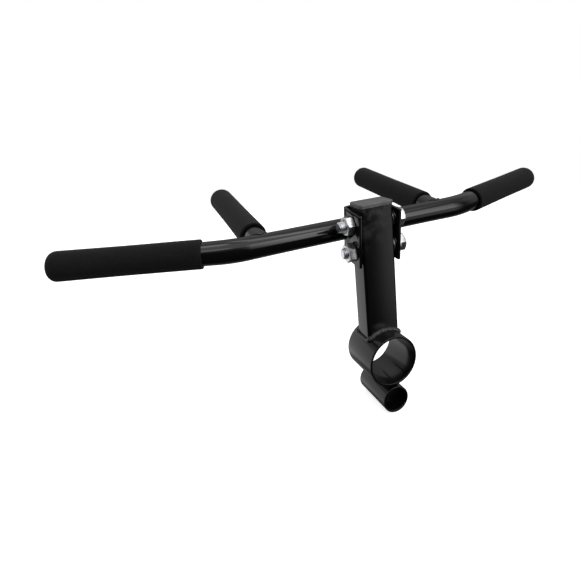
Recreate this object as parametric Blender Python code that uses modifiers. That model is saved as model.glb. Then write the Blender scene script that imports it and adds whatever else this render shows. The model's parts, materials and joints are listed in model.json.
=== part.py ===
# A two-handed row handle: a bent bar with two end grips and two rear grips, welded to a
# U-shaped yoke that is bolted over a rectangular post. The foot of the post carries a large
# and a small sleeve that slide over the ends of weight bars.
#
# Frame: metres, +Z up along the post, +X to the right along the bar, +Y to the rear handles.
# The origin is on the large sleeve's axis, under the middle of the post.

import math

import bmesh
import bpy
from mathutils import Matrix, Vector

# ---- driving dimensions -------------------------------------------------------------------
GAP = 0.0003                      # space kept between pieces that touch

LARGE_SLEEVE_RADIUS = 0.030
SMALL_SLEEVE_RADIUS = 0.016
SLEEVE_WALL = 0.0025
LARGE_SLEEVE_FRONT = -0.031
LARGE_SLEEVE_REAR = 0.0215
SMALL_SLEEVE_FRONT = -0.032
SMALL_SLEEVE_REAR = 0.0235
SLEEVE_SPACING = 0.0482           # between the two sleeves' axes
SLEEVE_EDGE = 0.0004              # chamfer round both ends of a sleeve
SLEEVE_BEAD_RADIUS = 0.002
SLEEVE_BEAD_INSET = 0.003         # a bead stops this far short of the large sleeve's ends

POST_WIDTH = 0.040
POST_DEPTH = 0.025
POST_WALL = 0.002
POST_CORNER = 0.003
POST_TOP = 0.175
CAP_THICKNESS = 0.005
CAP_OVERHANG = 0.0006
CAP_EDGE = 0.0006
CAP_SPIGOT_LENGTH = 0.010
CAP_SPIGOT_WALL = 0.002
CAP_SPIGOT_CORNER = 0.001

PIVOT_Y = -0.0015                 # the bolts pass the post a little ahead of its middle
PIVOT_Z = 0.1573
BOLT_SPACING = 0.030
TILT = math.radians(6.4)          # how far the yoke leans from square on the post
TILT_LIMIT = math.radians(6.4)    # the slot lets it lean as far to either side of square

YOKE_WIDTH = 0.052
YOKE_PLATE = 0.0035
YOKE_FRONT = -0.0168              # seen from the pivot, in the yoke's own directions
YOKE_REAR = 0.0242
YOKE_TOP = 0.0145
YOKE_BOTTOM = -0.0448
YOKE_BEND_RADIUS = 0.008

BAR_RADIUS = 0.0127
BAR_WALL = 0.002
BAR_Y = YOKE_REAR + GAP + BAR_RADIUS
BAR_Z = -0.0184
BEND_X = 0.1495                   # where the bar's straight parts would cross
BEND_ANGLE = math.radians(17.2)
BEND_RADIUS = 0.120
BEND_OVAL = 0.05                  # the bent tube is this much taller than round
BEND_OVAL_REACH = 0.035           # the swelling fades out about this far from the bend
REAR_HANDLE_X = 0.1168
COPE_CLEARANCE = 0.0006           # between a rear handle's coped end and the bar

GRIP_RADIUS = 0.016
GRIP_BORE = 0.0133
GRIP_END_WALL = 0.004
GRIP_END_ROUND = 0.009
GRIP_LIP = 0.001                  # chamfer round the open end
END_GRIP_START = 0.0313           # measured outwards from BEND_X along the bar's ends
END_GRIP_STOP = 0.1867
REAR_GRIP_START = 0.0310          # measured rearwards from the bar's axis
REAR_GRIP_STOP = 0.1971

PLUG_FLANGE = 0.002
PLUG_LENGTH = 0.014
PLUG_EDGE = 0.0005
PLUG_LEAD_IN = 0.001

BOLT_RADIUS = 0.006
BOLT_HOLE_RADIUS = 0.0064
HEX_ACROSS_FLATS = 0.019
HEX_FACE_RADIUS = 0.0092          # the round face left by the corner chamfer
HEX_CHAMFER = math.radians(30)
HEAD_HEIGHT = 0.0075
NUT_HEIGHT = 0.0088
WASHER_RADIUS = 0.0115
WASHER_THICKNESS = 0.0024
SPACER_RADIUS = 0.0095
SPACER_THICKNESS = 0.0019
PIVOT_BOLT_LENGTH = 0.0717
PIVOT_HEAD_ROLL = math.radians(35)
PIVOT_NUT_ROLL = math.radians(23)
LOCK_BOLT_LENGTH = 0.0686
LOCK_HEAD_ROLL = math.radians(18)
LOCK_NUT_ROLL = math.radians(-4)

TUBE_SIDES = 32
SLEEVE_SIDES = 48
SMALL_SIDES = 24
BEAD_SIDES = 12
WELD_DISTANCE = 0.000005

# ---- finishes: base colour, roughness, metallic --------------------------------------------
BLACK_PAINT = ((0.012, 0.012, 0.013), 0.22, 0.0)
SATIN_BLACK = ((0.018, 0.018, 0.019), 0.38, 0.0)
ZINC = ((0.62, 0.63, 0.64), 0.28, 1.0)
BLACK_FOAM = ((0.022, 0.022, 0.023), 0.9, 0.0)
BLACK_PLASTIC = ((0.05, 0.05, 0.052), 0.5, 0.0)


def clear_scene():
    for thing in list(bpy.data.objects):
        bpy.data.objects.remove(thing, do_unlink=True)


def make_collection(name):
    collection = bpy.data.collections.new(name)
    bpy.context.scene.collection.children.link(collection)
    return collection


def make_material(name, finish):
    colour, roughness, metallic = finish
    material = bpy.data.materials.new(name)
    material.use_nodes = True
    shader = material.node_tree.nodes["Principled BSDF"]
    shader.inputs["Base Color"].default_value = (*colour, 1.0)
    shader.inputs["Roughness"].default_value = roughness
    shader.inputs["Metallic"].default_value = metallic
    return material


def add_part(name, mesh, finish, parent=None):
    """Link a mesh as a named sub-part with its own material."""
    mesh.materials.clear()
    mesh.materials.append(make_material(name + "_finish", finish))
    part = bpy.data.objects.new(name, mesh)
    parts.objects.link(part)
    part.parent = parent
    return part


def add_cutter(name, mesh, parent=None):
    cutter = bpy.data.objects.new(name, mesh)
    cutters.objects.link(cutter)
    cutter.parent = parent
    cutter.hide_render = True
    cutter.display_type = "WIRE"
    return cutter


def combine(part, tool, operation):
    modifier = part.modifiers.new(tool.name, "BOOLEAN")
    modifier.operation = operation
    modifier.object = tool
    modifier.solver = "EXACT"


def cut(part, tool):
    combine(part, tool, "DIFFERENCE")


def join(part, tool):
    combine(part, tool, "UNION")


def shade(mesh):
    mesh.shade_smooth()
    mesh.set_sharp_from_angle(angle=math.radians(35))


def turned_mesh(name, profile, steps=TUBE_SIDES, closed=True):
    """Turn a profile of (radius, height) points round Z and return the mesh."""
    outline = bpy.data.meshes.new(name + "_profile")
    points = [(radius, 0.0, height) for radius, height in profile]
    edges = [(i, i + 1) for i in range(len(points) - 1)]
    if closed:
        edges.append((len(points) - 1, 0))
    outline.from_pydata(points, edges, [])
    holder = bpy.data.objects.new(name + "_profile", outline)
    parts.objects.link(holder)
    screw = holder.modifiers.new("turn", "SCREW")
    screw.axis = "Z"
    screw.steps = steps
    screw.render_steps = steps
    screw.use_merge_vertices = True
    screw.merge_threshold = WELD_DISTANCE
    mesh = evaluated_mesh(holder, name)
    bpy.data.objects.remove(holder, do_unlink=True)
    bpy.data.meshes.remove(outline)
    shade(mesh)
    return mesh


def evaluated_mesh(thing, name):
    """Return the object's mesh as its modifiers leave it, with doubled points welded."""
    bpy.context.view_layer.update()
    evaluated = thing.evaluated_get(bpy.context.evaluated_depsgraph_get())
    mesh = bpy.data.meshes.new_from_object(evaluated)
    mesh.name = name
    shape = bmesh.new()
    shape.from_mesh(mesh)
    bmesh.ops.remove_doubles(shape, verts=shape.verts, dist=WELD_DISTANCE)
    bmesh.ops.recalc_face_normals(shape, faces=shape.faces)
    shape.to_mesh(mesh)
    shape.free()
    return mesh


def ring_profile(outer, inner, length, chamfer=0.0):
    """Profile of a plain ring of the given length, its outer edges broken by a chamfer."""
    if chamfer == 0.0:
        return [(outer, length), (outer, 0.0), (inner, 0.0), (inner, length)]
    return [
        (outer - chamfer, length),
        (outer, length - chamfer),
        (outer, chamfer),
        (outer - chamfer, 0.0),
        (inner, 0.0),
        (inner, length),
    ]


def rounded_rectangle(width, depth, radius, steps=5):
    """Points round a rectangle with rounded corners, anticlockwise, centred on the origin."""
    points = []
    corners = ((1, -1, -90), (1, 1, 0), (-1, 1, 90), (-1, -1, 180))
    for side_x, side_y, start in corners:
        centre = Vector((side_x * (width / 2 - radius), side_y * (depth / 2 - radius)))
        for step in range(steps):
            angle = math.radians(start + 90 * step / (steps - 1))
            points.append(centre + radius * Vector((math.cos(angle), math.sin(angle))))
    return points


def prism_mesh(name, outline, bottom, top):
    """Raise a closed outline in the XY plane into a solid from bottom to top."""
    shape = bmesh.new()
    verts = [shape.verts.new((x, y, bottom)) for x, y in outline]
    face = shape.faces.new(verts)
    raised = bmesh.ops.extrude_face_region(shape, geom=[face])
    moved = [item for item in raised["geom"] if isinstance(item, bmesh.types.BMVert)]
    bmesh.ops.translate(shape, verts=moved, vec=(0, 0, top - bottom))
    bmesh.ops.recalc_face_normals(shape, faces=shape.faces)
    mesh = bpy.data.meshes.new(name)
    shape.to_mesh(mesh)
    shape.free()
    return mesh


def cylinder_mesh(name, radius, length, sides=TUBE_SIDES):
    """A solid cylinder on Z, centred on the origin."""
    shape = bmesh.new()
    bmesh.ops.create_cone(
        shape, cap_ends=True, segments=sides, radius1=radius, radius2=radius, depth=length
    )
    mesh = bpy.data.meshes.new(name)
    shape.to_mesh(mesh)
    shape.free()
    return mesh


def lay_along_y(part, start):
    """Turn a piece that runs up Z so that it runs back along +Y from the given point."""
    part.rotation_euler = (math.radians(-90), 0, 0)
    part.location = start


def lay_along_x(part, start, roll=0.0):
    """Turn a piece that runs up Z so that it runs right along +X from the given point."""
    turn = Matrix.Rotation(math.radians(90), 3, "Y") @ Matrix.Rotation(roll, 3, "Z")
    part.rotation_euler = turn.to_euler()
    part.location = start


# ---- the foot: two sleeves and the beads that join them --------------------------------------
def build_sleeves():
    sleeves = (
        ("large_sleeve", LARGE_SLEEVE_RADIUS, LARGE_SLEEVE_FRONT, LARGE_SLEEVE_REAR, 0.0),
        ("small_sleeve", SMALL_SLEEVE_RADIUS, SMALL_SLEEVE_FRONT, SMALL_SLEEVE_REAR, -SLEEVE_SPACING),
    )
    for name, radius, front, rear, height in sleeves:
        profile = ring_profile(radius, radius - SLEEVE_WALL, rear - front, SLEEVE_EDGE)
        sleeve = add_part(name, turned_mesh(name, profile, SLEEVE_SIDES), SATIN_BLACK)
        lay_along_y(sleeve, (0, front, height))


def build_sleeve_beads():
    # Each bead lies in the groove between the sleeves and just clears both of them.
    from_large = LARGE_SLEEVE_RADIUS + GAP + SLEEVE_BEAD_RADIUS
    from_small = SMALL_SLEEVE_RADIUS + GAP + SLEEVE_BEAD_RADIUS
    drop = (from_large**2 - from_small**2 + SLEEVE_SPACING**2) / (2 * SLEEVE_SPACING)
    aside = math.sqrt(from_large**2 - drop**2)
    start = LARGE_SLEEVE_FRONT + SLEEVE_BEAD_INSET
    length = LARGE_SLEEVE_REAR - SLEEVE_BEAD_INSET - start
    for name, side in (("sleeve_weld_left", -1), ("sleeve_weld_right", 1)):
        profile = bead_profile(SLEEVE_BEAD_RADIUS, length)
        bead = add_part(name, turned_mesh(name, profile, BEAD_SIDES, closed=False), SATIN_BLACK)
        lay_along_y(bead, (side * aside, start, -drop))


def bead_profile(radius, length):
    """Half outline of a rod with domed ends, from its top point down to its bottom point."""
    angles = (0, math.pi / 6, math.pi / 3, math.pi / 2)
    dome = [(radius * math.sin(angle), radius * math.cos(angle)) for angle in angles]
    upper = [(r, length - radius + h) for r, h in dome]
    lower = [(r, radius - h) for r, h in reversed(dome)]
    return upper + lower


# ---- the post and its cap --------------------------------------------------------------------
def build_post():
    outer = rounded_rectangle(POST_WIDTH, POST_DEPTH, POST_CORNER)
    post = add_part("post", prism_mesh("post", outer, 0.0, POST_TOP), SATIN_BLACK)
    bore_width = POST_WIDTH - 2 * POST_WALL
    bore_depth = POST_DEPTH - 2 * POST_WALL
    bore = rounded_rectangle(bore_width, bore_depth, POST_CORNER - POST_WALL)
    bore_top = POST_TOP + POST_WIDTH
    cut(post, add_cutter("post_bore", prism_mesh("post_bore", bore, -POST_WIDTH, bore_top)))

    saddle = cylinder_mesh("post_cope", LARGE_SLEEVE_RADIUS + GAP, 2 * POST_WIDTH, SLEEVE_SIDES)
    cope = add_cutter("post_cope", saddle)
    cope.rotation_euler = (math.radians(90), 0, 0)
    cut(post, cope)

    for name, height in (("pivot", PIVOT_Z), ("lock", PIVOT_Z - BOLT_SPACING)):
        drill_mesh = cylinder_mesh(name + "_drill", BOLT_HOLE_RADIUS, 2 * POST_WIDTH)
        drill = add_cutter(name + "_drill", drill_mesh)
        lay_along_x(drill, (0, PIVOT_Y, height))
        cut(post, drill)


def build_post_cap():
    width = POST_WIDTH + 2 * CAP_OVERHANG
    depth = POST_DEPTH + 2 * CAP_OVERHANG
    bottom = POST_TOP + GAP
    top = POST_TOP + CAP_THICKNESS
    plate = rounded_rectangle(width, depth, POST_CORNER + CAP_OVERHANG)
    cap = add_part("post_cap", prism_mesh("post_cap", plate, bottom, top), BLACK_PLASTIC)

    # The spigot pushes into the post's bore and is hollow from below.
    spigot_width = POST_WIDTH - 2 * POST_WALL - 2 * GAP
    spigot_depth = POST_DEPTH - 2 * POST_WALL - 2 * GAP
    low = POST_TOP - CAP_SPIGOT_LENGTH
    outline = rounded_rectangle(spigot_width, spigot_depth, CAP_SPIGOT_CORNER)
    spigot_top = (bottom + top) / 2
    spigot = add_cutter("cap_spigot", prism_mesh("cap_spigot", outline, low, spigot_top))
    join(cap, spigot)
    hollow_width = spigot_width - 2 * CAP_SPIGOT_WALL
    hollow_depth = spigot_depth - 2 * CAP_SPIGOT_WALL
    hollow = rounded_rectangle(hollow_width, hollow_depth, CAP_SPIGOT_CORNER)
    cut(cap, add_cutter("cap_hollow", prism_mesh("cap_hollow", hollow, 0.0, POST_TOP)))

    edge = cap.modifiers.new("soft_edge", "BEVEL")
    edge.width = CAP_EDGE
    edge.segments = 1
    edge.limit_method = "ANGLE"
    edge.angle_limit = math.radians(60)


# ---- the yoke --------------------------------------------------------------------------------
def yoke_outline():
    """The bent plate seen from above: a U that is open at the front."""
    half = YOKE_WIDTH / 2
    inner_radius = YOKE_BEND_RADIUS - YOKE_PLATE
    centre = Vector((half - YOKE_BEND_RADIUS, YOKE_REAR - YOKE_BEND_RADIUS))
    outside = [(half, YOKE_FRONT)]
    inside = [(half - YOKE_PLATE, YOKE_FRONT)]
    for step in range(6):
        angle = math.radians(90 * step / 5)
        turn = Vector((math.cos(angle), math.sin(angle)))
        outside.append(tuple(centre + YOKE_BEND_RADIUS * turn))
        inside.append(tuple(centre + inner_radius * turn))
    outer_left = [(-x, y) for x, y in reversed(outside)]
    inner_left = [(-x, y) for x, y in inside]
    inner_right = list(reversed(inside))
    return outside + outer_left + inner_left + inner_right


def build_yoke(pivot):
    bent_plate = prism_mesh("yoke_bracket", yoke_outline(), YOKE_BOTTOM, YOKE_TOP)
    yoke = add_part("yoke_bracket", bent_plate, BLACK_PAINT, pivot)
    hole_mesh = cylinder_mesh("yoke_pivot_hole", BOLT_HOLE_RADIUS, 2 * YOKE_WIDTH)
    hole = add_cutter("yoke_pivot_hole", hole_mesh, pivot)
    lay_along_x(hole, (0, 0, 0))
    cut(yoke, hole)
    cut(yoke, add_cutter("yoke_slot", slot_mesh(), pivot))


def slot_mesh():
    """An arc-shaped slot about the pivot, for the lock bolt, as a solid that runs along X."""
    steps = 6
    end_steps = 8
    outline = []
    for side in (1, -1):
        edge_radius = BOLT_SPACING + side * BOLT_HOLE_RADIUS
        for step in range(steps + 1):
            lean = side * TILT_LIMIT * (2 * step / steps - 1)
            outline.append((edge_radius * math.sin(lean), -edge_radius * math.cos(lean)))
        end_y = side * BOLT_SPACING * math.sin(TILT_LIMIT)
        end_z = -BOLT_SPACING * math.cos(TILT_LIMIT)
        first = math.atan2(-math.cos(TILT_LIMIT) * side, math.sin(TILT_LIMIT))
        for step in range(1, end_steps):
            angle = first + math.pi * step / end_steps
            y = end_y + BOLT_HOLE_RADIUS * math.cos(angle)
            z = end_z + BOLT_HOLE_RADIUS * math.sin(angle)
            outline.append((y, z))
    mesh = prism_mesh("yoke_slot", outline, -YOKE_WIDTH, YOKE_WIDTH)
    # The outline is drawn in (Y, Z), so it is turned to run along X.
    mesh.transform(Matrix(((0, 0, 1, 0), (1, 0, 0, 0), (0, 1, 0, 0), (0, 0, 0, 1))))
    return mesh


# ---- the handlebar and its rear handles ------------------------------------------------------
def bar_route(end_length):
    """Points along the right half of the bar, from its middle to its end."""
    reach = BEND_RADIUS * math.tan(BEND_ANGLE / 2)
    bend_start = BEND_X - reach
    route = [(0.0, 0.0), (bend_start - BEND_OVAL_REACH, 0.0)]
    for step in range(9):
        angle = BEND_ANGLE * step / 8
        x = bend_start + BEND_RADIUS * math.sin(angle)
        route.append((x, BEND_RADIUS * (1 - math.cos(angle))))
    for run in (END_GRIP_START, end_length):
        route.append((BEND_X + run * math.cos(BEND_ANGLE), run * math.sin(BEND_ANGLE)))
    return route


def tube_mesh(name, route, radius):
    """The skin of a tube with open ends that follows a route of (x, y) points."""
    curve = bpy.data.curves.new(name + "_route", "CURVE")
    curve.dimensions = "3D"
    curve.bevel_depth = radius
    curve.bevel_resolution = TUBE_SIDES // 4 - 2
    curve.use_fill_caps = False
    spline = curve.splines.new("POLY")
    spline.points.add(len(route) - 1)
    for point, (x, y) in zip(spline.points, route):
        point.co = (x, y, 0.0, 1.0)
    holder = bpy.data.objects.new(name + "_route", curve)
    parts.objects.link(holder)
    skin = evaluated_mesh(holder, name)
    bpy.data.objects.remove(holder, do_unlink=True)
    bpy.data.curves.remove(curve)
    return skin


def thicken(part, wall):
    shell = part.modifiers.new("wall", "SOLIDIFY")
    shell.thickness = wall
    shell.offset = -1.0
    shell.use_even_offset = True


def swell_at_bends(mesh):
    """Make the tube a little taller than round where it bends."""
    for vert in mesh.vertices:
        away = (abs(vert.co.x) - BEND_X) / BEND_OVAL_REACH
        vert.co.z *= 1.0 + BEND_OVAL * math.exp(-away * away)


def build_handlebar(pivot):
    end = END_GRIP_STOP - GRIP_END_WALL - PLUG_FLANGE - 2 * GAP
    half = bar_route(end)
    route = [(-x, y) for x, y in reversed(half[1:])] + half
    skin = tube_mesh("handlebar", route, BAR_RADIUS)
    swell_at_bends(skin)
    shade(skin)
    bar = add_part("handlebar", skin, BLACK_PAINT, pivot)
    bar.location = (0, BAR_Y, BAR_Z)
    thicken(bar, BAR_WALL)


def build_rear_handles(pivot):
    end = REAR_GRIP_STOP - GRIP_END_WALL - PLUG_FLANGE - 2 * GAP
    for name, side in (("rear_handle_left", -1), ("rear_handle_right", 1)):
        profile = ring_profile(BAR_RADIUS, BAR_RADIUS - BAR_WALL, end)
        handle = add_part(name, turned_mesh(name, profile), BLACK_PAINT, pivot)
        lay_along_y(handle, (side * REAR_HANDLE_X, BAR_Y, BAR_Z))
        # Its front end is coped to sit against the bar.
        saddle = cylinder_mesh(name + "_cope", BAR_RADIUS + COPE_CLEARANCE, 4 * BAR_RADIUS)
        cope = add_cutter(name + "_cope", saddle, pivot)
        lay_along_x(cope, (side * REAR_HANDLE_X, BAR_Y, BAR_Z))
        cut(handle, cope)


# ---- grips and the plugs inside them ---------------------------------------------------------
def grip_profile(length):
    """Outline of a closed-ended foam sleeve: open at the bottom, rounded over at the top."""
    profile = [(0.0, length)]
    for step in range(6):
        angle = math.radians(90 * step / 5)
        radius = GRIP_RADIUS - GRIP_END_ROUND + GRIP_END_ROUND * math.sin(angle)
        profile.append((radius, length - GRIP_END_ROUND + GRIP_END_ROUND * math.cos(angle)))
    profile += [
        (GRIP_RADIUS, GRIP_LIP),
        (GRIP_RADIUS - GRIP_LIP, 0.0),
        (GRIP_BORE, 0.0),
        (GRIP_BORE, length - GRIP_END_WALL),
        (0.0, length - GRIP_END_WALL),
    ]
    return profile


def plug_profile():
    """Outline of a tube plug: a spigot below and a thin flange on top."""
    top = PLUG_LENGTH + PLUG_FLANGE
    spigot = BAR_RADIUS - BAR_WALL - GAP
    return [
        (0.0, top),
        (BAR_RADIUS - PLUG_EDGE, top),
        (BAR_RADIUS, top - PLUG_EDGE),
        (BAR_RADIUS, PLUG_LENGTH),
        (spigot, PLUG_LENGTH),
        (spigot, PLUG_LEAD_IN),
        (spigot - PLUG_LEAD_IN, 0.0),
        (0.0, 0.0),
    ]


def place_along(part, start, direction):
    """Stand a piece that runs up Z on a start point, along a level direction."""
    part.rotation_euler = Vector(direction).to_track_quat("Z", "Y").to_euler()
    part.location = start


def build_grip(label, plug_label, base, direction, start, stop, pivot):
    """Add a grip and, inside its closed end, the plug of the tube that it covers."""
    profile = grip_profile(stop - start)
    mesh = turned_mesh(label, profile, SMALL_SIDES, closed=False)
    grip = add_part(label, mesh, BLACK_FOAM, pivot)
    place_along(grip, base + direction * start, direction)

    mesh = turned_mesh(plug_label, plug_profile(), SMALL_SIDES, closed=False)
    plug = add_part(plug_label, mesh, BLACK_PLASTIC, pivot)
    plug_start = stop - GRIP_END_WALL - GAP - PLUG_FLANGE - PLUG_LENGTH
    place_along(plug, base + direction * plug_start, direction)


def build_grips(pivot):
    for label, side in (("left", -1), ("right", 1)):
        corner = Vector((side * BEND_X, BAR_Y, BAR_Z))
        outward = Vector((side * math.cos(BEND_ANGLE), math.sin(BEND_ANGLE), 0))
        name = "end_grip_" + label
        plug_name = "bar_plug_" + label
        build_grip(name, plug_name, corner, outward, END_GRIP_START, END_GRIP_STOP, pivot)

        root = Vector((side * REAR_HANDLE_X, BAR_Y, BAR_Z))
        back = Vector((0, 1, 0))
        name = "rear_grip_" + label
        plug_name = "handle_plug_" + label
        build_grip(name, plug_name, root, back, REAR_GRIP_START, REAR_GRIP_STOP, pivot)


# ---- bolts, nuts and washers -----------------------------------------------------------------
def hex_mesh(name, height):
    """A hexagon head or nut on Z from 0 to height, its corners turned down at both ends."""
    corner = HEX_ACROSS_FLATS / math.sqrt(3)
    shape = bmesh.new()
    bmesh.ops.create_cone(shape, cap_ends=True, segments=6, radius1=corner, radius2=corner, depth=height)
    bmesh.ops.translate(shape, verts=shape.verts, vec=(0, 0, height / 2))
    mesh = bpy.data.meshes.new(name)
    shape.to_mesh(mesh)
    shape.free()
    return mesh


def crown(part, name, height, roll, start):
    """Trim a hexagon's corners with the cone shape that a chamfering tool leaves."""
    reach = HEX_ACROSS_FLATS / math.sqrt(3) + GAP
    drop = (reach - HEX_FACE_RADIUS) * math.tan(HEX_CHAMFER)
    profile = [
        (0.0, height + GAP),
        (HEX_FACE_RADIUS - GAP / math.tan(HEX_CHAMFER), height + GAP),
        (reach, height - drop),
        (reach, drop),
        (HEX_FACE_RADIUS - GAP / math.tan(HEX_CHAMFER), -GAP),
        (0.0, -GAP),
    ]
    tool = add_cutter(name, turned_mesh(name, profile, SMALL_SIDES, closed=False))
    lay_along_x(tool, start, roll)
    combine(part, tool, "INTERSECT")


def build_bolt(name, axis, length, roll):
    """A hexagon bolt whose head is on the right, at the given height on the post."""
    start = axis + Vector((YOKE_WIDTH / 2 + 2 * GAP + WASHER_THICKNESS, 0, 0))
    bolt = add_part(name + "_bolt", hex_mesh(name + "_bolt", HEAD_HEIGHT), ZINC)
    lay_along_x(bolt, start, roll)
    crown(bolt, name + "_head_crown", HEAD_HEIGHT, roll, start)
    # The shank starts halfway up the head, so that the two join well.
    inside = HEAD_HEIGHT / 2
    shank_mesh = cylinder_mesh(name + "_shank", BOLT_RADIUS, length + inside, SMALL_SIDES)
    shank = add_cutter(name + "_shank", shank_mesh)
    lay_along_x(shank, start + Vector(((inside - length) / 2, 0, 0)))
    join(bolt, shank)


def build_nut(name, axis, roll):
    start = axis - Vector((YOKE_WIDTH / 2 + GAP + NUT_HEIGHT, 0, 0))
    nut = add_part(name + "_nut", hex_mesh(name + "_nut", NUT_HEIGHT), ZINC)
    lay_along_x(nut, start, roll)
    crown(nut, name + "_nut_crown", NUT_HEIGHT, roll, start)
    bore_mesh = cylinder_mesh(name + "_nut_bore", BOLT_RADIUS + GAP, 4 * NUT_HEIGHT, SMALL_SIDES)
    bore = add_cutter(name + "_nut_bore", bore_mesh)
    lay_along_x(bore, start)
    cut(nut, bore)


def build_fasteners():
    outer = YOKE_WIDTH / 2 + GAP
    inner = POST_WIDTH / 2 + GAP
    bolts = (
        ("pivot", PIVOT_Z, PIVOT_BOLT_LENGTH, PIVOT_HEAD_ROLL, PIVOT_NUT_ROLL),
        ("lock", PIVOT_Z - BOLT_SPACING, LOCK_BOLT_LENGTH, LOCK_HEAD_ROLL, LOCK_NUT_ROLL),
    )
    for name, height, length, head_roll, nut_roll in bolts:
        axis = Vector((0, PIVOT_Y, height))
        build_bolt(name, axis, length, head_roll)
        build_nut(name, axis, nut_roll)
        rings = (
            ("_head_washer", WASHER_RADIUS, WASHER_THICKNESS, outer),
            ("_spacer_right", SPACER_RADIUS, SPACER_THICKNESS, inner),
            ("_spacer_left", SPACER_RADIUS, SPACER_THICKNESS, -inner - SPACER_THICKNESS),
        )
        for suffix, radius, thickness, start in rings:
            profile = ring_profile(radius, BOLT_RADIUS + GAP, thickness)
            ring = add_part(name + suffix, turned_mesh(name + suffix, profile, SMALL_SIDES), ZINC)
            lay_along_x(ring, axis + Vector((start, 0, 0)))


clear_scene()
parts = make_collection("row_handle")
cutters = make_collection("row_handle_cutters")

yoke_pivot = bpy.data.objects.new("yoke_pivot", None)
parts.objects.link(yoke_pivot)
yoke_pivot.location = (0, PIVOT_Y, PIVOT_Z)
yoke_pivot.rotation_euler = (TILT, 0, 0)

build_sleeves()
build_sleeve_beads()
build_post()
build_post_cap()
build_yoke(yoke_pivot)
build_handlebar(yoke_pivot)
build_rear_handles(yoke_pivot)
build_grips(yoke_pivot)
build_fasteners()
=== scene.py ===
# A two-handed row handle: foam-covered bent bar on a yoke, bolted to a post that ends in
# two sleeves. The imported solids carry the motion; the finely shaped pieces made here ride on them.
import json
import math

import bmesh
import bpy
from mathutils import Matrix, Vector, noise


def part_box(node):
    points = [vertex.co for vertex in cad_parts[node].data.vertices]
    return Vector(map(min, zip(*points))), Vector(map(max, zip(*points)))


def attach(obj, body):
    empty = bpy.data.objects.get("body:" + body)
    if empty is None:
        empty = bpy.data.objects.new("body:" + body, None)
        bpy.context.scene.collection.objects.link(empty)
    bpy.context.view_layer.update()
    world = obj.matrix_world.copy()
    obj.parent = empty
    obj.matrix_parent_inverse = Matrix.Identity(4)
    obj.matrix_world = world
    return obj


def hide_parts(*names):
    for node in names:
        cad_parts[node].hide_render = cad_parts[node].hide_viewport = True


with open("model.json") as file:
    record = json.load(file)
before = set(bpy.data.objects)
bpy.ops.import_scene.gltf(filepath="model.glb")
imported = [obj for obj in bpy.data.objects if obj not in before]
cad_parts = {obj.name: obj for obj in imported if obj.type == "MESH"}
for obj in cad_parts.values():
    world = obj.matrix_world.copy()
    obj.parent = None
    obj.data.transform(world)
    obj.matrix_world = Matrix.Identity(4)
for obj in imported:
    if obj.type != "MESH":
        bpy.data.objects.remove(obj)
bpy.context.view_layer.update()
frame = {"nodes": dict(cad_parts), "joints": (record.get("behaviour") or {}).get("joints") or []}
print("frame loaded:", len(frame["nodes"]), "solids")

postBody = "post_frame"
handleBody = "handle_frame"


def boxOf(node):
    low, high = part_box(node)
    return Vector(low), Vector(high)


class Wire:
    # One output of a node; sums and products of wires add Math nodes.
    def __init__(self, tree, socket):
        self.tree = tree
        self.socket = socket

    def maths(self, operation, first, second):
        return self.tree.add("ShaderNodeMath", {"operation": operation}, {0: first, 1: second})

    def __add__(self, other):
        return self.maths("ADD", self, other)

    def __radd__(self, other):
        return self.maths("ADD", other, self)

    def __sub__(self, other):
        return self.maths("SUBTRACT", self, other)

    def __rsub__(self, other):
        return self.maths("SUBTRACT", other, self)

    def __mul__(self, other):
        return self.maths("MULTIPLY", self, other)

    def __rmul__(self, other):
        return self.maths("MULTIPLY", other, self)


class NodeBench:
    # Adds nodes to one tree.
    def __init__(self, tree):
        self.tree = tree

    def add(self, kind, settings=None, sockets=None, output=0):
        node = self.tree.nodes.new(kind)
        for name, value in (settings or {}).items():
            setattr(node, name, value)
        self.fill(node, sockets or {})
        return Wire(self, node.outputs[output])

    def fill(self, node, sockets):
        for name, value in sockets.items():
            if isinstance(value, Wire):
                self.tree.links.new(value.socket, node.inputs[name])
            else:
                node.inputs[name].default_value = value

    def smooth(self, value, low, high):
        # 0 below low, 1 above high, and an even slope between them.
        settings = {"interpolation_type": "SMOOTHSTEP"}
        sockets = {"Value": value, "From Min": low, "From Max": high}
        return self.add("ShaderNodeMapRange", settings, sockets)

    def mixColour(self, factor, first, second):
        sockets = {0: factor, 6: first, 7: second}
        return self.add("ShaderNodeMix", {"data_type": "RGBA"}, sockets, 2)

    def place(self):
        return self.add("ShaderNodeTexCoord", output=3)

    def grain(self, size, detail=2.0, place=None):
        # Soft noise whose lumps are about the given size in metres.
        sockets = {"Vector": place or self.place(), "Scale": 1.0 / size, "Detail": detail}
        return self.add("ShaderNodeTexNoise", {}, sockets)

    def cells(self, size):
        sockets = {"Vector": self.place(), "Scale": 1.0 / size}
        return self.add("ShaderNodeTexVoronoi", {"feature": "F1"}, sockets)

    def bump(self, height, depth, strength=1.0):
        sockets = {"Strength": strength, "Distance": depth, "Height": height}
        return self.add("ShaderNodeBump", {}, sockets)


def makeFinish(name, build):
    material = bpy.data.materials.new(name)
    material.use_nodes = True
    bench = NodeBench(material.node_tree)
    bench.fill(material.node_tree.nodes["Principled BSDF"], build(bench))
    return material


def grey(value, warmth=0.0):
    return (value * (1 + warmth), value, value * (1 - warmth), 1.0)


glossPaint = {
    "colour": 0.004,
    "dustColour": 0.009,
    "roughness": 0.08,
    "roughnessSwing": 0.06,
    "orangePeelSize": 0.0016,
    "orangePeelDepth": 0.000010,
    "speckSize": 0.0009,
}


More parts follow.
